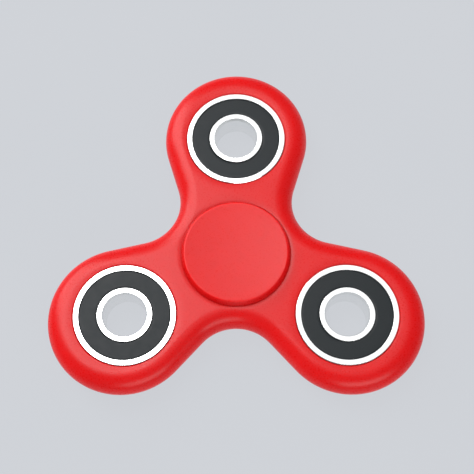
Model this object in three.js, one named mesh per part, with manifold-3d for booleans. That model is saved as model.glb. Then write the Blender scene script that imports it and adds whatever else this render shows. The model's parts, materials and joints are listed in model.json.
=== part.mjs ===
// Tri-lobe fidget spinner.
//
// A moulded frame carries four equal sealed ball bearings. The frame spins on the centre one, and the three in
// the lobes are its weights, whose inner rings turn freely. Two finger caps are pressed into the centre
// bearing's bore, one from each side, so the caps and that bearing's inner ring stay still between finger and
// thumb while the rest turns.
//
// Millimetres, +Z up. The origin is on the spin axis, in the middle plane of the bearings, and the first lobe
// points along +Y.

import * as THREE from "three";
import { mergeVertices } from "three/addons/utils/BufferGeometryUtils.js";
import Module from "manifold-3d";

const wasm = await Module();
wasm.setup();

// Frame, in plan.
const LOBES = 3;
const FIRST_LOBE_ANGLE = Math.PI / 2;
const BEARING_PITCH_R = 27.3; // spin axis to the axis of each lobe bearing
const LOBE_CENTRE_R = 28.2; // spin axis to the centre of each lobe's round end
const LOBE_R = 16;
const WAIST_R = 9.7; // radius of the hollow between two lobes
const WAIST_INNER_R = 15.85; // spin axis to the nearest point of that hollow

// Bearing: 22 mm outside, 7 mm wide.
const BEARING_OUTER_R = 11;
const BEARING_WIDTH = 7;
const BORE_R = 4.5;
const RING_CHAMFER = 0.25;
const OUTER_LIP_INNER_R = 9.8; // inside of the outer ring's rim, around the seal
const OUTER_LAND_R = 9;
const INNER_LAND_R = 5.9;
const BALL_R = 3.969 / 2;
const BALLS = 7;
const BALL_PITCH_R = 7.5;
const RACEWAY_R = 2.16; // section radius of both raceway grooves
const RACEWAY_STEPS = 4;

// Seals and cage.
const SEAL_OUTER_R = 9.7;
const SEAL_INNER_R = 6;
const SEAL_RECESS = 0.3; // below the rings' faces
const SEAL_THICKNESS = 0.75;
const SEAL_LEDGE_GAP = 0.1; // between a seal and the ledge that it sits on
const CAGE_INNER_R = 6.65;
const CAGE_OUTER_R = 8.35;
const CAGE_BASE_Z = -2.3;
const CAGE_TIP_Z = 0.9;
const POCKET_R = 2.13;

// Frame, in section.
const FRAME_THICKNESS = 7;
const EDGE_WIDTH = 4.1; // the frame's edge is nearly half an ellipse
const EDGE_HEIGHT = 3.4;
const SEAT_CLEARANCE = 0.05;
const SEAT_CHAMFER = 0.3;
const CAP_HOLLOW_DEPTH = 0.15; // faint funnel in both faces around the caps
const CAP_HOLLOW_INNER_R = 11.8;
const CAP_HOLLOW_OUTER_R = 13.4;

// Finger cap.
const CAP_R = 11.2; // at the top, from where the side flares out
const CAP_BASE_R = 11.9;
const CAP_HEIGHT = 1.5; // above the frame's face
const CAP_RIM_R = 0.35;
const CAP_RIM_FLAT = 0.35;
const CAP_UNDERSIDE_GAP = 0.35; // over the rings that turn under it
const CAP_LIP_GAP = 0.1; // over the frame's face, before the funnel
const CAP_LIP_INNER_R = 11.35;
const CAP_LIP_HEIGHT = 0.2;
const DISH_DEPTH = 0.45;
const DISH_FLAT_R = 3;
const DISH_STEPS = 3;
const SHOULDER_R = 5.5; // rests on the centre bearing's inner ring
const SHOULDER_GAP = 0.05;
const SPIGOT_R = 4.42;
const SPIGOT_END_Z = 0.35;
const SPIGOT_CHAMFER = 0.25;
const CORE_R = 2.6; // the spigot is hollow, like any thick moulding
const CORE_DEPTH = 3.3;

// How finely round things are divided.
const LOBE_ARC_STEPS = 22;
const WAIST_ARC_STEPS = 7;
const EDGE_STEPS = 4;
const BEARING_STEPS = 24; // rings, seals and the seats in the frame
const CAP_STEPS = 32;
const CAGE_STEPS = 28;
const BALL_DETAIL = 1;
const POCKET_STEPS = 12;
const CUT_MARGIN = 1; // how far a cutting shape runs past a face

const HALF_WIDTH = BEARING_WIDTH / 2;
const HALF_FRAME = FRAME_THICKNESS / 2;

const FINISH = {
  frame: { color: 0xd8191c, roughness: 0.5, metalness: 0 },
  cap: { color: 0xdc2426, roughness: 0.52, metalness: 0 },
  steel: { color: 0xd9dcdd, roughness: 0.2, metalness: 1 },
  ball: { color: 0xe4e6e8, roughness: 0.08, metalness: 1 },
  seal: { color: 0x303638, roughness: 0.6, metalness: 0 },
  cage: { color: 0x8c8f90, roughness: 0.4, metalness: 1 },
};

// ---- Helpers ----

function polar(radius, angle) {
  return new THREE.Vector2(radius * Math.cos(angle), radius * Math.sin(angle));
}

function arc(centre, radius, start, end, steps) {
  return Array.from({ length: steps + 1 }, (_, i) =>
    polar(radius, THREE.MathUtils.lerp(start, end, i / steps)).add(centre),
  );
}

// Turns a profile of [radius, z] points about Z. It runs anticlockwise, with the radius to the right.
function turned(profile, steps) {
  const points = profile.map(([radius, z]) => new THREE.Vector2(radius, z));
  return new THREE.LatheGeometry(points, steps).rotateX(Math.PI / 2);
}

function turnedRing(profile, steps) {
  return turned([...profile, profile[0]], steps);
}

function solidOf(geometry) {
  const bare = geometry.clone().deleteAttribute("normal").deleteAttribute("uv");
  const merged = mergeVertices(bare, 1e-4);
  const vertProperties = new Float32Array(merged.attributes.position.array);
  const triVerts = new Uint32Array(merged.index.array);
  return new wasm.Manifold(new wasm.Mesh({ numProp: 3, vertProperties, triVerts }));
}

function geometryOf(solid) {
  const { vertProperties, triVerts } = solid.getMesh();
  const geometry = new THREE.BufferGeometry();
  geometry.setAttribute("position", new THREE.BufferAttribute(vertProperties, 3));
  geometry.setIndex(new THREE.BufferAttribute(triVerts, 1));
  geometry.computeVertexNormals();
  return geometry;
}

function part(name, geometry, finish) {
  const mesh = new THREE.Mesh(geometry, new THREE.MeshStandardMaterial(finish));
  mesh.name = name;
  return mesh;
}

// ---- Frame ----

function lobeAngle(index) {
  return FIRST_LOBE_ANGLE + (index * 2 * Math.PI) / LOBES;
}

// Three round lobes joined by three hollows, with a straight line tangent to both at each join.
function frameOutline() {
  const halfPitch = Math.PI / LOBES;
  const waistCentreR = WAIST_INNER_R + WAIST_R;
  const lobe = polar(LOBE_CENTRE_R, 0);
  const toWaist = polar(waistCentreR, halfPitch).sub(lobe);
  const lean = Math.acos((LOBE_R + WAIST_R) / toWaist.length());
  const lobeSpread = toWaist.angle() - lean;
  const waistSpread = lobeSpread - halfPitch;
  const points = [];
  for (let i = 0; i < LOBES; i++) {
    const out = lobeAngle(i);
    const between = out + halfPitch;
    const back = between + Math.PI;
    const lobeCentre = polar(LOBE_CENTRE_R, out);
    const waistCentre = polar(waistCentreR, between);
    points.push(...arc(lobeCentre, LOBE_R, out - lobeSpread, out + lobeSpread, LOBE_ARC_STEPS));
    points.push(...arc(waistCentre, WAIST_R, back + waistSpread, back - waistSpread, WAIST_ARC_STEPS));
  }
  return new THREE.Shape(points);
}

function frameBlank() {
  const blank = new THREE.ExtrudeGeometry(frameOutline(), {
    depth: FRAME_THICKNESS - 2 * EDGE_HEIGHT,
    bevelThickness: EDGE_HEIGHT,
    bevelSize: EDGE_WIDTH,
    bevelOffset: -EDGE_WIDTH,
    bevelSegments: EDGE_STEPS,
  });
  return blank.translate(0, 0, EDGE_HEIGHT - HALF_FRAME);
}

// A through hole for a bearing, with a small chamfer at both faces.
function seatCutter() {
  const seatR = BEARING_OUTER_R + SEAT_CLEARANCE;
  const chamferZ = HALF_FRAME - SEAT_CHAMFER;
  const endZ = HALF_FRAME + CUT_MARGIN;
  const mouthR = seatR + endZ - chamferZ;
  const profile = [
    [0, -endZ],
    [mouthR, -endZ],
    [seatR, -chamferZ],
    [seatR, chamferZ],
    [mouthR, endZ],
    [0, endZ],
  ];
  return turned(profile, BEARING_STEPS);
}

// The shallow funnel around a cap, for the upper face.
function capHollowCutter() {
  const slope = CAP_HOLLOW_DEPTH / (CAP_HOLLOW_OUTER_R - CAP_HOLLOW_INNER_R);
  const floorZ = HALF_FRAME - CAP_HOLLOW_DEPTH;
  const profile = [
    [0, floorZ],
    [CAP_HOLLOW_INNER_R, floorZ],
    [CAP_HOLLOW_OUTER_R + CUT_MARGIN / slope, HALF_FRAME + CUT_MARGIN],
    [0, HALF_FRAME + CUT_MARGIN],
  ];
  return turned(profile, CAP_STEPS);
}

function frame() {
  const seat = seatCutter();
  const upperHollow = capHollowCutter();
  const lowerHollow = capHollowCutter().rotateX(Math.PI);
  let solid = solidOf(frameBlank()).subtract(solidOf(seat));
  for (let i = 0; i < LOBES; i++) {
    const { x, y } = polar(BEARING_PITCH_R, lobeAngle(i));
    solid = solid.subtract(solidOf(seat.clone().translate(x, y, 0)));
  }
  solid = solid.subtract(solidOf(upperHollow)).subtract(solidOf(lowerHollow));
  return part("spinner_frame", geometryOf(solid), FINISH.frame);
}

// ---- Bearing ----

// Points along a raceway groove's section, seen from the balls' centre line: side is 1 for the outer ring's
// groove, and -1 for the inner ring's. It runs up the inner ring and down the outer one.
function raceway(side, landR) {
  const halfAngle = Math.acos((side * (landR - BALL_PITCH_R)) / RACEWAY_R);
  return Array.from({ length: RACEWAY_STEPS + 1 }, (_, i) => {
    const angle = THREE.MathUtils.lerp(halfAngle, -halfAngle, i / RACEWAY_STEPS);
    const radius = BALL_PITCH_R + side * RACEWAY_R * Math.cos(angle);
    return [radius, side * RACEWAY_R * Math.sin(angle)];
  });
}

function outerRing() {
  const chamferZ = HALF_WIDTH - RING_CHAMFER;
  const faceR = BEARING_OUTER_R - RING_CHAMFER;
  const ledgeZ = HALF_WIDTH - SEAL_RECESS - SEAL_THICKNESS - SEAL_LEDGE_GAP;
  const profile = [
    [BEARING_OUTER_R, -chamferZ],
    [BEARING_OUTER_R, chamferZ],
    [faceR, HALF_WIDTH],
    [OUTER_LIP_INNER_R, HALF_WIDTH],
    [OUTER_LIP_INNER_R, ledgeZ],
    [OUTER_LAND_R, ledgeZ],
    ...raceway(1, OUTER_LAND_R),
    [OUTER_LAND_R, -ledgeZ],
    [OUTER_LIP_INNER_R, -ledgeZ],
    [OUTER_LIP_INNER_R, -HALF_WIDTH],
    [faceR, -HALF_WIDTH],
  ];
  return turnedRing(profile, BEARING_STEPS);
}

function innerRing() {
  const chamferZ = HALF_WIDTH - RING_CHAMFER;
  const faceR = BORE_R + RING_CHAMFER;
  const profile = [
    [BORE_R, chamferZ],
    [BORE_R, -chamferZ],
    [faceR, -HALF_WIDTH],
    [INNER_LAND_R, -HALF_WIDTH],
    ...raceway(-1, INNER_LAND_R),
    [INNER_LAND_R, HALF_WIDTH],
    [faceR, HALF_WIDTH],
  ];
  return turnedRing(profile, BEARING_STEPS);
}

// The upper seal.
function seal() {
  const topZ = HALF_WIDTH - SEAL_RECESS;
  const bottomZ = topZ - SEAL_THICKNESS;
  const profile = [
    [SEAL_INNER_R, topZ],
    [SEAL_INNER_R, bottomZ],
    [SEAL_OUTER_R, bottomZ],
    [SEAL_OUTER_R, topZ],
  ];
  return turnedRing(profile, BEARING_STEPS);
}

function ballAngle(index) {
  return (index * 2 * Math.PI) / BALLS;
}

function ballCentre(index) {
  const { x, y } = polar(BALL_PITCH_R, ballAngle(index));
  return new THREE.Vector3(x, y, 0);
}

// A crown cage: one ring with a round pocket through it for each ball, open at the top so that the balls snap in.
function cage() {
  const profile = [
    [CAGE_INNER_R, CAGE_TIP_Z],
    [CAGE_INNER_R, CAGE_BASE_Z],
    [CAGE_OUTER_R, CAGE_BASE_Z],
    [CAGE_OUTER_R, CAGE_TIP_Z],
  ];
  const length = CAGE_OUTER_R - CAGE_INNER_R + 2 * CUT_MARGIN;
  const pocket = new THREE.CylinderGeometry(POCKET_R, POCKET_R, length, POCKET_STEPS);
  let solid = solidOf(turnedRing(profile, CAGE_STEPS));
  for (let i = 0; i < BALLS; i++) {
    const pocketHere = pocket.clone().rotateZ(ballAngle(i) - Math.PI / 2).translate(...ballCentre(i));
    solid = solid.subtract(solidOf(pocketHere));
  }
  return geometryOf(solid);
}

function bearing(name) {
  const group = new THREE.Group();
  const lowerSeal = part(`${name}_lower_seal`, seal(), FINISH.seal);
  lowerSeal.rotation.x = Math.PI;
  group.add(
    part(`${name}_outer_ring`, outerRing(), FINISH.steel),
    part(`${name}_inner_ring`, innerRing(), FINISH.steel),
    part(`${name}_upper_seal`, seal(), FINISH.seal),
    lowerSeal,
    part(`${name}_ball_cage`, cage(), FINISH.cage),
  );
  for (let i = 0; i < BALLS; i++) {
    const ball = part(`${name}_ball_${i + 1}`, new THREE.IcosahedronGeometry(BALL_R, BALL_DETAIL), FINISH.ball);
    ball.position.copy(ballCentre(i));
    group.add(ball);
  }
  return group;
}

// ---- Finger caps ----

// The upper cap: a dished disc with a flared side and a lip around its underside, over a hollow spigot.
function cap() {
  const topZ = HALF_FRAME + CAP_HEIGHT;
  const floorZ = topZ - DISH_DEPTH;
  const undersideZ = HALF_WIDTH + CAP_UNDERSIDE_GAP;
  const lipZ = HALF_FRAME + CAP_LIP_GAP;
  const shoulderZ = HALF_WIDTH + SHOULDER_GAP;
  const coreZ = SPIGOT_END_Z + CORE_DEPTH;
  const rimOuterR = CAP_R - CAP_RIM_R;
  const rimInnerR = rimOuterR - CAP_RIM_FLAT;
  const dish = Array.from({ length: DISH_STEPS }, (_, i) => {
    const along = 1 - (i + 1) / DISH_STEPS;
    const radius = THREE.MathUtils.lerp(DISH_FLAT_R, rimInnerR, along);
    return [radius, floorZ + DISH_DEPTH * along ** 2];
  });
  const profile = [
    [0, coreZ],
    [CORE_R, coreZ],
    [CORE_R, SPIGOT_END_Z],
    [SPIGOT_R - SPIGOT_CHAMFER, SPIGOT_END_Z],
    [SPIGOT_R, SPIGOT_END_Z + SPIGOT_CHAMFER],
    [SPIGOT_R, shoulderZ],
    [SHOULDER_R, shoulderZ],
    [SHOULDER_R, undersideZ],
    [CAP_LIP_INNER_R, undersideZ],
    [CAP_LIP_INNER_R, lipZ],
    [CAP_BASE_R, lipZ],
    [CAP_BASE_R, lipZ + CAP_LIP_HEIGHT],
    [CAP_R, topZ - CAP_RIM_R],
    [rimOuterR, topZ],
    [rimInnerR, topZ],
    ...dish,
    [0, floorZ],
  ];
  return turned(profile, CAP_STEPS);
}

// ---- Assembly ----

const spinner = new THREE.Group();
const lowerCap = part("lower_cap", cap(), FINISH.cap);
lowerCap.rotation.x = Math.PI;
const centreBearing = bearing("centre");
centreBearing.rotation.z = FIRST_LOBE_ANGLE;
spinner.add(frame(), part("upper_cap", cap(), FINISH.cap), lowerCap, centreBearing);

for (let i = 0; i < LOBES; i++) {
  const lobeBearing = bearing(`lobe_${i + 1}`);
  const { x, y } = polar(BEARING_PITCH_R, lobeAngle(i));
  lobeBearing.position.set(x, y, 0);
  lobeBearing.rotation.z = lobeAngle(i);
  spinner.add(lobeBearing);
}

export default spinner;
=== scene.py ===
"""Tri-lobe fidget spinner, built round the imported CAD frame.

Sizes of pieces are in millimetres, in each piece's own frame. Places, lights and the camera are in
metres, in the CAD frame.
"""

import json
import math

import bpy
from mathutils import Matrix, Vector
from mathutils.geometry import delaunay_2d_cdt
from mathutils.kdtree import KDTree


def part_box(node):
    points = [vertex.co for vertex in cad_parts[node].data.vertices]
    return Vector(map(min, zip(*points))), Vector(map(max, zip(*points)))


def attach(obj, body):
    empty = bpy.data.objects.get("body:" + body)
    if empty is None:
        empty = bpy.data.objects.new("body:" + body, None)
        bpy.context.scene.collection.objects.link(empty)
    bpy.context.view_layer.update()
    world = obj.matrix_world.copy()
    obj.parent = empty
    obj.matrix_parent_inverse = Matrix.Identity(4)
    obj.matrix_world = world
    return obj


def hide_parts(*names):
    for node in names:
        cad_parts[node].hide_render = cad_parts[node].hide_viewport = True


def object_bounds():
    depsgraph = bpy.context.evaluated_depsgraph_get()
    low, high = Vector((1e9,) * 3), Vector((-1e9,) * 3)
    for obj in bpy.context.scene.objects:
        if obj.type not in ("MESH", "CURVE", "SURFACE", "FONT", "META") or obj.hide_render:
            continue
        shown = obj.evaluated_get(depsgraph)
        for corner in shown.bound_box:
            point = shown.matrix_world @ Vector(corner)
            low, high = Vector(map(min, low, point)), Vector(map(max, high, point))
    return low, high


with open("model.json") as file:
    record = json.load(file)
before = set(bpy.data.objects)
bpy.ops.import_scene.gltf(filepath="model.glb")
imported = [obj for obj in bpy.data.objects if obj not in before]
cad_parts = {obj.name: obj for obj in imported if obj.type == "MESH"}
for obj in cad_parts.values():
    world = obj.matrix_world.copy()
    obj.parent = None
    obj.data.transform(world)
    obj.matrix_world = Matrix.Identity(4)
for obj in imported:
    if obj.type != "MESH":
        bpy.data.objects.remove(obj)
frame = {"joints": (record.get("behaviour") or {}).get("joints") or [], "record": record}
cad_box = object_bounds()

MM = 0.001

# ---- Sizes, in millimetres: the CAD model's own, with finer edges ----

LOBES = 3
FIRST_LOBE_ANGLE = math.pi / 2
LOBE_CENTRE_R = 28.2
LOBE_R = 16.0
WAIST_R = 9.7
WAIST_INNER_R = 15.85
EDGE_WIDTH = 4.1
EDGE_HEIGHT = 3.4
FACE_MARGIN = 0.1
PARTING_BEAD = 0.02
BEAD_FLANK_SHARE = 0.4
BEAD_FLANK_Z = 0.05
BEAD_FLANK_SLOPE = 0.5

BORE_R = 4.5
BORE_EDGE_WIDTH = 0.35
BORE_EDGE_HEIGHT = 0.7
OUTER_CHAMFER = 0.12
OUTER_LIP_INNER_R = 9.8
OUTER_LAND_R = 9.0
INNER_LAND_R = 5.905
LEDGE_Z = 2.35
BALLS = 7
BALL_R = 3.969 / 2
BALL_PITCH_R = 7.5
RACEWAY_R = 2.1
RACEWAY_FILLET = 0.06

SEAL_OUTER_R = 9.77
SEAL_INNER_R = 5.96
SEAL_TOP_Z = 3.24
SEAL_BOTTOM_Z = 2.45
SEAL_BEAD_WIDTH = 0.35
SEAL_BEAD_DROP = 0.04
SEAL_LIP_WIDTH = 0.45
SEAL_LIP_DROP = 0.06

CAGE_INNER_R = 6.65
CAGE_OUTER_R = 8.35
CAGE_BASE_Z = -2.3
CAGE_TIP_Z = 0.9
CAGE_FOOT_REACH = 2.75
CAGE_SHARP_ANGLE = math.radians(40)
POCKET_R = 2.06

SEAT_GAP = 0.03
SEAT_CHAMFER = 0.22
SEAT_DIP = 0.12
SEAT_DIP_R = 12.8
CAP_HOLLOW_DEPTH = 0.14
CAP_HOLLOW_INNER_R = 11.75
CAP_HOLLOW_OUTER_R = 13.3

CAP_RIM_R = 11.25
CAP_UNDERSIDE_GAP = 0.35
CAP_LIP_SINK = 0.06
CAP_LIP_INNER_R = 11.35
CAP_LIP_HEIGHT = 0.06
CAP_RIM_FILLET = 0.4
DISH_R = 11.2
DISH_DEPTH = 0.45
SHOULDER_R = 5.5
SHOULDER_GAP = 0.01
SPIGOT_R = 4.47
SPIGOT_END_Z = 0.35
CORE_R = 2.6
CORE_DEPTH = 3.3

TURN_STEPS = 192
BALL_STEPS = 40

# ---- Sizes and places read from the frame ----


def half_size(node, axis):
    low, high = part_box(node)
    return (high[axis] - low[axis]) / 2 / MM


HALF_FRAME = half_size("spinner_frame", 2)
HALF_WIDTH = half_size("centre_outer_ring", 2)
BEARING_OUTER_R = half_size("centre_outer_ring", 1)
CAP_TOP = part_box("upper_cap")[1].z / MM
CAP_BASE_R = half_size("upper_cap", 1)

hinge_place = {j["child"]: Vector(j["pos_m"]) for j in frame["joints"]}
bearing_place = {"centre": Vector((0, 0, 0))}
bearing_place.update({f"lobe_{i + 1}": hinge_place[f"lobe_{i + 1}_inner"] for i in range(LOBES)})


def polar(radius, angle):
    return Vector((radius * math.cos(angle), radius * math.sin(angle)))


def lobe_angle(i):
    return FIRST_LOBE_ANGLE + i * 2 * math.pi / LOBES


# ---- Mesh helpers ----


def mirrored(points):
    """The points of a section below z = 0, from those above it."""
    return [(r, -z, fillet) for r, z, fillet in reversed(points)]


def new_mesh(name, verts, faces, normals=None):
    """A smooth mesh from points in millimetres, with a normal for each point if they are given."""
    mesh = bpy.data.meshes.new(name)
    mesh.from_pydata([tuple(c * MM for c in v) for v in verts], [], faces)
    mesh.shade_smooth()
    if normals:
        mesh.normals_split_custom_set_from_vertices(normals)
    return mesh


def new_object(name, mesh, place=(0, 0, 0), turn=(0, 0, 0)):
    piece = bpy.data.objects.new(name, mesh)
    piece.location = place
    piece.rotation_euler = turn
    bpy.context.scene.collection.objects.link(piece)
    return piece


def rounded(corners, segments=5):
    """A section with its corners rounded, as rows of a point and its normal, both (radius, z).

    corners are (radius, z, fillet), anticlockwise. They close on themselves unless they start and end on
    the axis. A fillet of 0 is a point on a smooth curve.
    """
    points = [Vector(c[:2]) for c in corners]
    on_axis = points[0].x == 0
    rows = []
    for i, (_, _, fillet) in enumerate(corners):
        here = points[i]
        if on_axis and i in (0, len(corners) - 1):
            rows.append((here, Vector((0, -1 if i == 0 else 1))))
            continue
        t_in = (here - points[i - 1]).normalized()
        t_out = (points[(i + 1) % len(points)] - here).normalized()
        turn = math.atan2(t_in.x * t_out.y - t_in.y * t_out.x, t_in.dot(t_out))
        n_in = Vector((t_in.y, -t_in.x))
        if fillet == 0:
            rows.append((here, Matrix.Rotation(turn / 2, 2) @ n_in))
            continue
        side = 1 if turn > 0 else -1
        centre = here - t_in * fillet * math.tan(abs(turn) / 2) - n_in * fillet * side
        for k in range(segments + 1):
            n = Matrix.Rotation(turn * k / segments, 2) @ n_in
            rows.append((centre + n * fillet * side, n))
    return rows


def turned(name, rows, steps):
    """The rows of a section turned about Z."""
    verts, normals, faces, rings = [], [], [], []
    for at, n in rows:
        if at.x == 0:
            rings.append([len(verts)] * steps)
            verts.append((0, 0, at.y))
            normals.append((0, 0, n.y))
            continue
        rings.append(range(len(verts), len(verts) + steps))
        for k in range(steps):
            d = polar(1, 2 * math.pi * k / steps)
            verts.append((d.x * at.x, d.y * at.x, at.y))
            normals.append((d.x * n.x, d.y * n.x, n.y))
    closing = [] if rows[0][0].x == 0 else [(rings[-1], rings[0])]
    for low, high in [*zip(rings, rings[1:]), *closing]:
        for k in range(steps):
            j = (k + 1) % steps
            faces.append(list(dict.fromkeys((low[k], low[j], high[j], high[k]))))
    return new_mesh(name, verts, faces, normals)


# ---- Frame ----


def frame_outline(lobe_steps=96, line_steps=6, waist_steps=32):
    """Points round the frame's widest outline, each with its outward normal."""
    half_pitch = math.pi / LOBES
    waist_centre_r = WAIST_INNER_R + WAIST_R
    to_waist = polar(waist_centre_r, half_pitch) - polar(LOBE_CENTRE_R, 0)
    lean = math.acos((LOBE_R + WAIST_R) / to_waist.length)
    lobe_spread = math.atan2(to_waist.y, to_waist.x) - lean
    waist_spread = lobe_spread - half_pitch
    arcs = []
    for i in range(LOBES):
        out, between = lobe_angle(i), lobe_angle(i) + half_pitch
        lobe, waist = polar(LOBE_CENTRE_R, out), polar(waist_centre_r, between)
        angles = [out + lobe_spread * (2 * k / lobe_steps - 1) for k in range(lobe_steps + 1)]
        arcs.append([(lobe + polar(LOBE_R, a), polar(1, a)) for a in angles])
        inward = between + math.pi
        angles = [inward + waist_spread * (1 - 2 * k / waist_steps) for k in range(waist_steps + 1)]
        arcs.append([(waist + polar(WAIST_R, a), -polar(1, a)) for a in angles])
    outline = []
    for i, points in enumerate(arcs):
        (start, n), (end, _) = points[-1], arcs[(i + 1) % len(arcs)][0]
        line = [(start.lerp(end, k / line_steps), n) for k in range(1, line_steps)]
        outline += points + line
    return outline


def edge_section(segments=16):
    """The frame's edge from the upper face to the lower one, as inset, z and the slope of its normal."""
    flat = HALF_FRAME - EDGE_HEIGHT
    quarter = []
    for k in range(segments + 1):
        a = math.pi / 2 * (1 - k / segments)
        inset, z = EDGE_WIDTH * (1 - math.cos(a)), flat + EDGE_HEIGHT * math.sin(a)
        quarter.append((inset, z, math.atan2(math.sin(a) * EDGE_WIDTH, math.cos(a) * EDGE_HEIGHT)))
    flank = -PARTING_BEAD * BEAD_FLANK_SHARE
    bead = [
        (flank, BEAD_FLANK_Z, BEAD_FLANK_SLOPE),
        (-PARTING_BEAD, 0, 0),
        (flank, -BEAD_FLANK_Z, -BEAD_FLANK_SLOPE),
    ]
    return quarter + bead + [(inset, -z, -a) for inset, z, a in reversed(quarter)]


def seat_section():
    """From the upper face down through a bearing's seat to the lower face.

    The section's two ends only show which way the faces run, so they are left out.
    """
    seat_r = BEARING_OUTER_R + SEAT_GAP
    upper = [(seat_r + SEAT_CHAMFER, HALF_FRAME, 0.1), (seat_r, HALF_FRAME - SEAT_CHAMFER, 0.1)]
    end = (2 * seat_r, HALF_FRAME, 0)
    return rounded([end, *upper, *mirrored(upper), *mirrored([end])], 4)[1:-1]


def cap_hollow(radius):
    """How far the faint hollow round the cap drops at a radius, and its slope there."""
    width = CAP_HOLLOW_OUTER_R - CAP_HOLLOW_INNER_R
    share = min(max((CAP_HOLLOW_OUTER_R - radius) / width, 0), 1)
    slope = -3 * CAP_HOLLOW_DEPTH * share**2 / width if share < 1 else 0
    return CAP_HOLLOW_DEPTH * share**3, slope


def seat_dip(radius):
    """How far the face rolls down towards a lobe's bearing at a radius, and its slope there."""
    width = SEAT_DIP_R - BEARING_OUTER_R
    share = min(max((SEAT_DIP_R - radius) / width, 0), 1)
    return SEAT_DIP * share**2, -2 * SEAT_DIP * share / width


def sunk(at, normal):
    """A point of the frame's faces, lowered where the face dips, with its normal."""
    side = 1 if at[2] > 0 else -1
    at, normal = Vector(at), Vector(normal)
    for name, place in bearing_place.items():
        across = at.xy - place.xy / MM
        drop, slope = (cap_hollow if name == "centre" else seat_dip)(across.length)
        normal += (across * abs(normal.z) * slope / across.length).to_3d()
        at.z -= side * drop
    return at, normal.normalized()


def frame_mesh(seat_steps=144, dip_rings=12):
    verts, normals, faces = [], [], []

    def add_ring(points):
        first = len(verts)
        for at, normal in points:
            at, normal = sunk(at, normal)
            verts.append(at)
            normals.append(normal)
        return list(range(first, len(verts)))

    def add_walls(rings):
        for upper, lower in zip(rings, rings[1:]):
            for k in range(len(upper)):
                j = (k + 1) % len(upper)
                faces.append((upper[k], lower[k], lower[j], upper[j]))
        borders[1].append(rings[0])
        borders[-1].append(rings[-1])

    def inner_points(side):
        """Points inside the flat face, where it dips round the bearings."""
        near = KDTree(len(outline))
        for i, (p, _) in enumerate(outline):
            near.insert(p.to_3d(), i)
        near.balance()
        points = []
        for name, place in bearing_place.items():
            end_r = CAP_HOLLOW_OUTER_R if name == "centre" else SEAT_DIP_R
            start_r = BEARING_OUTER_R + 2 * SEAT_CHAMFER
            for i in range(dip_rings + 1):
                radius = start_r + (end_r - start_r) * i / dip_rings
                for k in range(seat_steps):
                    at = place.xy / MM + polar(radius, 2 * math.pi * (k + i / 2) / seat_steps)
                    if near.find(at.to_3d())[2] > EDGE_WIDTH + FACE_MARGIN:
                        points.append(((*at, side * HALF_FRAME), (0, 0, side)))
        return points

    def fill(loops, side):
        """The face between the outline and the seats."""
        index = [v for loop in loops for v in loop]
        owner = [i for i, loop in enumerate(loops) for _ in loop]
        starts = [owner.index(i) for i in range(len(loops))]
        chains = [list(range(s, s + len(loop))) for s, loop in zip(starts, loops)]
        edges = [(chain[k - 1], chain[k]) for chain in chains for k in range(len(chain))]
        inner = add_ring(inner_points(side))
        index += inner
        owner += [None] * len(inner)
        points = [Vector(verts[v][:2]) for v in index]
        made = delaunay_2d_cdt(points, edges, [], 1, 1e-6)
        for face in made[2]:
            ids = [made[3][v][0] for v in face]
            owners = {owner[i] for i in ids}
            if len(owners) == 1 and owners.pop():
                continue
            corners = [index[i] for i in ids]
            faces.append(corners if side > 0 else corners[::-1])

    borders = {1: [], -1: []}
    outline = frame_outline()
    rings = []
    for inset, z, slope in edge_section():
        out, up = math.cos(slope), math.sin(slope)
        points = [((*(p - n * inset), z), (n.x * out, n.y * out, up)) for p, n in outline]
        rings.append(add_ring(points))
    add_walls(rings)

    around = [polar(1, -2 * math.pi * k / seat_steps) for k in range(seat_steps)]
    for place in bearing_place.values():
        centre = place.xy / MM
        rings = []
        for at, n in seat_section():
            points = [((*(centre + d * at.x), at.y), (d.x * n.x, d.y * n.x, n.y)) for d in around]
            rings.append(add_ring(points))
        add_walls(rings)
    for side, loops in borders.items():
        fill(loops, side)
    return new_mesh("frame_body", verts, faces, normals)


# ---- Finger caps ----


def cap_mesh(dish_steps=24):
    """The upper cap: a dished disc, flared down to its lip, on a hollow spigot."""
    dish_floor = CAP_TOP - DISH_DEPTH
    underside = HALF_WIDTH + CAP_UNDERSIDE_GAP
    lip = HALF_FRAME - CAP_LIP_SINK
    shoulder = HALF_WIDTH + SHOULDER_GAP
    core_top = SPIGOT_END_Z + CORE_DEPTH
    dish = []
    for k in range(1, dish_steps):
        share = 1 - k / dish_steps
        dish.append((DISH_R * share, dish_floor + DISH_DEPTH * share**2, 0))
    section = [
        (0, core_top, 0),
        (CORE_R, core_top, 0.3),
        (CORE_R, SPIGOT_END_Z, 0.2),
        (SPIGOT_R, SPIGOT_END_Z, 0.3),
        (SPIGOT_R, shoulder, 0.1),
        (SHOULDER_R, shoulder, 0.1),
        (SHOULDER_R, underside, 0.2),
        (CAP_LIP_INNER_R, underside, 0.1),
        (CAP_LIP_INNER_R, lip, 0.08),
        (CAP_BASE_R, lip, 0.02),
        (CAP_BASE_R, lip + CAP_LIP_HEIGHT, 0.03),
        (CAP_RIM_R, CAP_TOP, CAP_RIM_FILLET),
        *dish,
        (0, dish_floor, 0),
    ]
    return turned("finger_cap", rounded(section, 8), TURN_STEPS)


# ---- Bearing ----


def raceway(side, land_r, segments=14):
    """A raceway groove's points: down the outer ring's bore for side 1, up the inner ring for side -1."""
    half = math.acos(side * (land_r - BALL_PITCH_R) / RACEWAY_R)
    points = []
    for k in range(segments + 1):
        a = half * (1 - 2 * k / segments)
        fillet = RACEWAY_FILLET if k in (0, segments) else 0
        radius = BALL_PITCH_R + side * RACEWAY_R * math.cos(a)
        points.append((radius, side * RACEWAY_R * math.sin(a), fillet))
    return points


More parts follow.
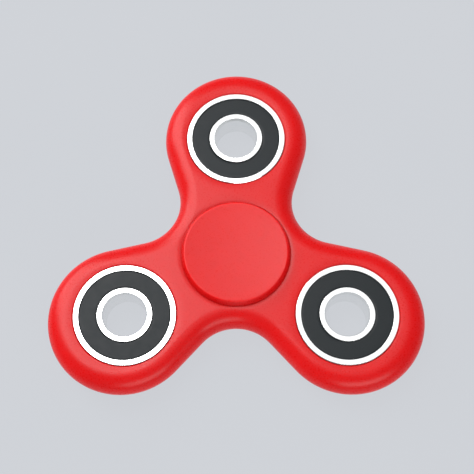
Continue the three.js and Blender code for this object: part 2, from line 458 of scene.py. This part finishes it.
def outer_ring_mesh():
    upper = [
        (BEARING_OUTER_R, HALF_WIDTH - OUTER_CHAMFER, 0.05),
        (BEARING_OUTER_R - OUTER_CHAMFER, HALF_WIDTH, 0.05),
        (OUTER_LIP_INNER_R, HALF_WIDTH, 0.08),
        (OUTER_LIP_INNER_R, LEDGE_Z, 0.05),
        (OUTER_LAND_R, LEDGE_Z, 0.08),
    ]
    section = [*upper, *raceway(1, OUTER_LAND_R), *mirrored(upper)]
    return turned("outer_ring", rounded(section, 4), TURN_STEPS)


def inner_ring_mesh():
    upper = [
        (INNER_LAND_R, HALF_WIDTH, 0.08),
        (BORE_R + BORE_EDGE_WIDTH, HALF_WIDTH, 0.05),
        (BORE_R, HALF_WIDTH - BORE_EDGE_HEIGHT, 0.2),
    ]
    section = [*mirrored(upper), *raceway(-1, INNER_LAND_R), *upper]
    return turned("inner_ring", rounded(section, 4), TURN_STEPS)


def seal_mesh():
    """The upper seal: flat, with a thin lip just clear of the inner ring and a rounded outer bead."""
    section = [
        (SEAL_INNER_R, SEAL_BOTTOM_Z, 0.1),
        (SEAL_OUTER_R, SEAL_BOTTOM_Z, 0.1),
        (SEAL_OUTER_R, SEAL_TOP_Z - SEAL_BEAD_DROP, 0.1),
        (SEAL_OUTER_R - SEAL_BEAD_WIDTH, SEAL_TOP_Z, 0.3),
        (SEAL_INNER_R + SEAL_LIP_WIDTH, SEAL_TOP_Z, 0.3),
        (SEAL_INNER_R, SEAL_TOP_Z - SEAL_LIP_DROP, 0.12),
    ]
    return turned("seal", rounded(section, 5), TURN_STEPS)


def ball_mesh(segments=20):
    angles = [math.pi * (k / segments - 0.5) for k in range(segments + 1)]
    rows = [(polar(BALL_R, a), polar(1, a)) for a in angles]
    rows[0] = (Vector((0, -BALL_R)), Vector((0, -1)))
    rows[-1] = (Vector((0, BALL_R)), Vector((0, 1)))
    return turned("ball", rows, BALL_STEPS)


def cage_mesh(arc_steps=24, tip_steps=4):
    """A crown cage: a ring with a round pocket for each ball, open at the top."""
    tip = math.asin(CAGE_TIP_Z / POCKET_R)
    pitch = 2 * CAGE_INNER_R * math.sin(math.pi / BALLS)
    tip_gap = pitch - 2 * POCKET_R * math.cos(tip)
    foot_gap = pitch - 2 * CAGE_FOOT_REACH
    verts, faces, columns = [], [], []

    def at(radius, angle, across, z):
        along = math.sqrt(radius**2 - across**2)
        d = polar(1, angle)
        return (d.x * along - d.y * across, d.y * along + d.x * across, z)

    def add_column(angle, across, z, foot_angle, foot_across):
        first = len(verts)
        for radius in (CAGE_INNER_R, CAGE_OUTER_R):
            verts.append(at(radius, angle, across, z))
            verts.append(at(radius, foot_angle, foot_across, CAGE_BASE_Z))
        columns.append(first)

    for i in range(BALLS):
        angle = 2 * math.pi * i / BALLS
        for k in range(arc_steps + 1):
            a = math.pi - tip + (math.pi + 2 * tip) * k / arc_steps
            across = POCKET_R * math.cos(a)
            foot = CAGE_FOOT_REACH * (2 * k / arc_steps - 1)
            add_column(angle, across, POCKET_R * math.sin(a), angle, foot)
        middle = angle + math.pi / BALLS
        for k in range(1, tip_steps):
            share = k / tip_steps - 0.5
            add_column(middle, tip_gap * share, CAGE_TIP_Z, middle, foot_gap * share)
    for k, a in enumerate(columns):
        b = columns[(k + 1) % len(columns)]
        faces.append((a, a + 1, b + 1, b))
        faces.append((a + 2, b + 2, b + 3, a + 3))
        faces.append((a, b, b + 2, a + 2))
        faces.append((a + 1, a + 3, b + 3, b + 1))
    mesh = new_mesh("ball_cage", verts, faces)
    mesh.set_sharp_from_angle(angle=CAGE_SHARP_ANGLE)
    return mesh


# ---- Materials ----

SEAL_COLOUR = (0.004, 0.007, 0.009, 1)
SEAL_BLOOM_COLOUR = (0.006, 0.010, 0.012, 1)


class Finish:
    """A material with a Principled shader, and a short way to add nodes to it."""

    def __init__(self, name):
        self.material = bpy.data.materials.new(name)
        self.material.use_nodes = True
        self.tree = self.material.node_tree
        self.surface = self.tree.nodes["Principled BSDF"]
        self.place = self.add("ShaderNodeTexCoord").outputs["Object"]

    def add(self, kind, inputs=None, **settings):
        node = self.tree.nodes.new(kind)
        for key, value in settings.items():
            setattr(node, key, value)
        for key, value in (inputs or {}).items():
            self.set(node.inputs[key], value)
        return node

    def set(self, socket, value):
        if isinstance(value, bpy.types.NodeSocket):
            self.tree.links.new(value, socket)
        else:
            socket.default_value = value

    def surface_inputs(self, **values):
        for key, value in values.items():
            self.set(self.surface.inputs[key.replace("_", " ").title().replace("Ior", "IOR")], value)

    def noise(self, size_mm, detail=2.0, roughness=0.5, place=None, dimensions="3D"):
        key = "W" if dimensions == "1D" else "Vector"
        inputs = {key: place or self.place, "Scale": 1 / (size_mm * MM)}
        inputs.update({"Detail": detail, "Roughness": roughness})
        return self.add("ShaderNodeTexNoise", inputs, noise_dimensions=dimensions).outputs["Fac"]

    def spread(self, value, low, high, start=0.3, end=0.7):
        """value, usually from start to end, as a number from low to high."""
        inputs = {"Value": value, "From Min": start, "From Max": end, "To Min": low, "To Max": high}
        return self.add("ShaderNodeMapRange", inputs).outputs["Result"]

    def mix(self, share, first, second):
        node = self.add("ShaderNodeMix", data_type="RGBA")
        self.set(node.inputs[0], share)
        self.set(node.inputs[6], first)
        self.set(node.inputs[7], second)
        return node.outputs[2]

    def bump(self, height, depth_mm, after=None):
        inputs = {"Height": height, "Distance": depth_mm * MM, "Strength": 1.0}
        if after:
            inputs["Normal"] = after
        return self.add("ShaderNodeBump", inputs).outputs["Normal"]

    def radius(self):
        """Distance from the object's own Z axis."""
        flat = self.add("ShaderNodeVectorMath", {0: self.place, 1: (1, 1, 0)}, operation="MULTIPLY")
        length = self.add("ShaderNodeVectorMath", {0: flat.outputs[0]}, operation="LENGTH")
        return length.outputs["Value"]


def moulded_plastic(name, deep, light):
    """Red plastic from a spark-textured mould: a fine even grain, and faint clouds in its colour."""
    finish = Finish(name)
    clouds = finish.spread(finish.noise(9, detail=4), 0, 1)
    grain = finish.noise(0.34, detail=1.5, roughness=0.6)
    fine = finish.noise(0.12, detail=1)
    finish.surface_inputs(
        base_color=finish.mix(clouds, deep, light),
        roughness=finish.spread(grain, 0.25, 0.35),
        normal=finish.bump(grain, 0.014, finish.bump(fine, 0.003)),
    )
    finish.surface_inputs(subsurface_weight=0.7, subsurface_scale=MM, subsurface_radius=(2.2, 0.25, 0.2))
    finish.surface_inputs(specular_ior_level=0.29)
    return finish.material


def bearing_steel(name, colour, shade, gloss):
    """Ground steel, with fine turning marks round its own axis and a few soft smears."""
    finish = Finish(name)
    marks = finish.noise(0.06, detail=3, place=finish.radius(), dimensions="1D")
    smears = finish.noise(2.5, detail=4, roughness=0.6)
    finish.surface_inputs(
        base_color=finish.mix(finish.spread(smears, 0, 1), colour, shade),
        metallic=1.0,
        roughness=finish.spread(marks, gloss, gloss + 0.07),
        normal=finish.bump(marks, 0.0006),
    )
    return finish.material


def seal_rubber(name):
    """Dark grey moulded rubber with a dull bloom."""
    finish = Finish(name)
    bloom = finish.noise(1.6, detail=5, roughness=0.6)
    grain = finish.noise(0.10, detail=2)
    marks = finish.noise(0.35, detail=2, place=finish.radius(), dimensions="1D")
    finish.surface_inputs(
        base_color=finish.mix(finish.spread(bloom, 0, 1), SEAL_COLOUR, SEAL_BLOOM_COLOUR),
        roughness=finish.spread(bloom, 0.42, 0.52),
        normal=finish.bump(grain, 0.004, finish.bump(marks, 0.004)),
    )
    finish.surface_inputs(specular_ior_level=0.34)
    return finish.material


FRAME_PLASTIC = moulded_plastic("frame_plastic", (0.55, 0.0030, 0.0036, 1), (0.58, 0.0041, 0.0047, 1))
CAP_PLASTIC = moulded_plastic("cap_plastic", (0.57, 0.0036, 0.0042, 1), (0.60, 0.0047, 0.0053, 1))
RING_STEEL = bearing_steel("ring_steel", (0.98, 0.98, 0.97, 1), (0.94, 0.95, 0.95, 1), 0.10)
BALL_STEEL = bearing_steel("ball_steel", (0.82, 0.83, 0.84, 1), (0.78, 0.79, 0.80, 1), 0.03)
CAGE_STEEL = bearing_steel("cage_steel", (0.46, 0.46, 0.46, 1), (0.40, 0.40, 0.41, 1), 0.30)
SEAL_RUBBER = seal_rubber("seal_rubber")


# ---- Pieces ----


def add_piece(name, mesh, node, place=(0, 0, 0), turn=(0, 0, 0)):
    """A piece that stands for one CAD node, on that node's body."""
    piece = new_object(name, mesh, place, turn)
    body = next(b for b, nodes in frame["record"]["behaviour"]["bodies"].items() if node in nodes)
    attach(piece, body)
    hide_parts(node)
    return piece


def finished(mesh, material):
    mesh.materials.append(material)
    return mesh


UPSIDE_DOWN = (math.pi, 0, 0)

add_piece("frame_body", finished(frame_mesh(), FRAME_PLASTIC), "spinner_frame")

cap = finished(cap_mesh(), CAP_PLASTIC)
add_piece("upper_finger_cap", cap, "upper_cap")
add_piece("lower_finger_cap", cap, "lower_cap", turn=UPSIDE_DOWN)

outer_ring = finished(outer_ring_mesh(), RING_STEEL)
inner_ring = finished(inner_ring_mesh(), RING_STEEL)
seal = finished(seal_mesh(), SEAL_RUBBER)
ball_cage = finished(cage_mesh(), CAGE_STEEL)
ball = finished(ball_mesh(), BALL_STEEL)

for i, (name, place) in enumerate(bearing_place.items()):
    angle = FIRST_LOBE_ANGLE if name == "centre" else lobe_angle(i - 1)
    turn = (0, 0, angle)
    add_piece(f"{name}_ring_outer", outer_ring, f"{name}_outer_ring", place, turn)
    add_piece(f"{name}_ring_inner", inner_ring, f"{name}_inner_ring", place, turn)
    add_piece(f"{name}_seal_upper", seal, f"{name}_upper_seal", place, turn)
    add_piece(f"{name}_seal_lower", seal, f"{name}_lower_seal", place, (math.pi, 0, angle))
    add_piece(f"{name}_cage", ball_cage, f"{name}_ball_cage", place, turn)
    for k in range(BALLS):
        offset = polar(BALL_PITCH_R * MM, angle + 2 * math.pi * k / BALLS).to_3d()
        add_piece(f"{name}_ball_{k + 1}.fine", ball, f"{name}_ball_{k + 1}", place + offset)


# ---- Floor, light and camera ----

FLOOR_COLOUR = (0.631, 0.651, 0.687, 1)
FLOOR_SHADE = (0.625, 0.646, 0.683, 1)
FLOOR_DIFFUSE = 0.04
FLOOR_HALF_SIZE = 3.0
ROOM_COLOUR = (0.92, 0.95, 1.0, 1)


def light_levels(tree, seen, fill, mirrored_level):
    """A strength with three levels: to the camera, in reflections, and as light on the object."""
    ray = tree.nodes.new("ShaderNodeLightPath")
    unseen = tree.nodes.new("ShaderNodeMix")
    unseen.inputs["A"].default_value = fill
    unseen.inputs["B"].default_value = mirrored_level
    tree.links.new(ray.outputs["Is Glossy Ray"], unseen.inputs["Factor"])
    strength = tree.nodes.new("ShaderNodeMix")
    strength.inputs["B"].default_value = seen
    tree.links.new(ray.outputs["Is Camera Ray"], strength.inputs["Factor"])
    tree.links.new(unseen.outputs["Result"], strength.inputs["A"])
    return strength.outputs["Result"]


def floor(seen, fill, mirrored_level):
    """A light table under the object: it glows, and reflects next to nothing itself."""
    half, z = FLOOR_HALF_SIZE, cad_box[0].z
    corners = [(-half, -half, z), (half, -half, z), (half, half, z), (-half, half, z)]
    mesh = bpy.data.meshes.new("floor")
    mesh.from_pydata(corners, [], [(0, 1, 2, 3)])
    finish = Finish("floor_light_table")
    tint = finish.mix(finish.spread(finish.noise(40, detail=3), 0, 1), FLOOR_COLOUR, FLOOR_SHADE)
    finish.surface_inputs(base_color=finish.mix(FLOOR_DIFFUSE, (0, 0, 0, 1), tint), roughness=0.9)
    strength = light_levels(finish.tree, seen, fill, mirrored_level)
    finish.surface_inputs(emission_color=tint, emission_strength=strength, specular_ior_level=0.0)
    new_object("floor", finished(mesh, finish.material))


def softbox(name, direction, width, height, radiance, distance=0.6):
    """A soft rectangular light that faces the object. radiance is how bright it looks."""
    light = bpy.data.lights.new(name, "AREA")
    light.shape = "RECTANGLE"
    light.size = width
    light.size_y = height
    light.energy = radiance * math.pi * width * height
    lamp = bpy.data.objects.new(name, light)
    away = Vector(direction).normalized()
    lamp.location = away * distance
    lamp.rotation_euler = away.to_track_quat("Z", "Y").to_euler()
    bpy.context.scene.collection.objects.link(lamp)


def surroundings(seen, fill, mirrored_level):
    """A pale room."""
    world = bpy.data.worlds.new("studio")
    world.use_nodes = True
    background = world.node_tree.nodes["Background"]
    background.inputs["Color"].default_value = ROOM_COLOUR
    strength = light_levels(world.node_tree, seen, fill, mirrored_level)
    world.node_tree.links.new(strength, background.inputs["Strength"])
    bpy.context.scene.world = world


def camera(aim, lean, distance, lens):
    """Looks at aim, from above and a little towards -Y, with +Y up in the picture."""
    data = bpy.data.cameras.new("camera")
    data.lens = lens
    data.sensor_width = 36
    eye = bpy.data.objects.new("camera", data)
    back = Vector(lean).normalized()
    right = Vector((0, 1, 0)).cross(back).normalized()
    up = back.cross(right)
    turn = Matrix((right, up, back)).transposed()
    eye.matrix_world = Matrix.Translation(Vector(aim) + back * distance) @ turn.to_4x4()
    data.clip_start, data.clip_end = 0.01, 20
    bpy.context.scene.collection.objects.link(eye)
    bpy.context.scene.camera = eye


floor(seen=0.94, fill=2.0, mirrored_level=0.9)
softbox("key_softbox", direction=(-0.51, 0.45, 0.73), width=0.36, height=0.76, radiance=4.8)
softbox("overhead_panel", direction=(0.03, 0.24, 1), width=0.46, height=0.52, radiance=1.0)
softbox("front_softbox", direction=(0.30, -0.83, 0.53), width=0.50, height=0.22, radiance=3.5)
surroundings(seen=0.645, fill=0.57, mirrored_level=0.15)
camera(aim=(0.0002, 0.0049, 0), lean=(0.0089, -0.3292, 0.9442), distance=0.2258, lens=77.6)
bpy.context.scene.view_settings.view_transform = "Standard"
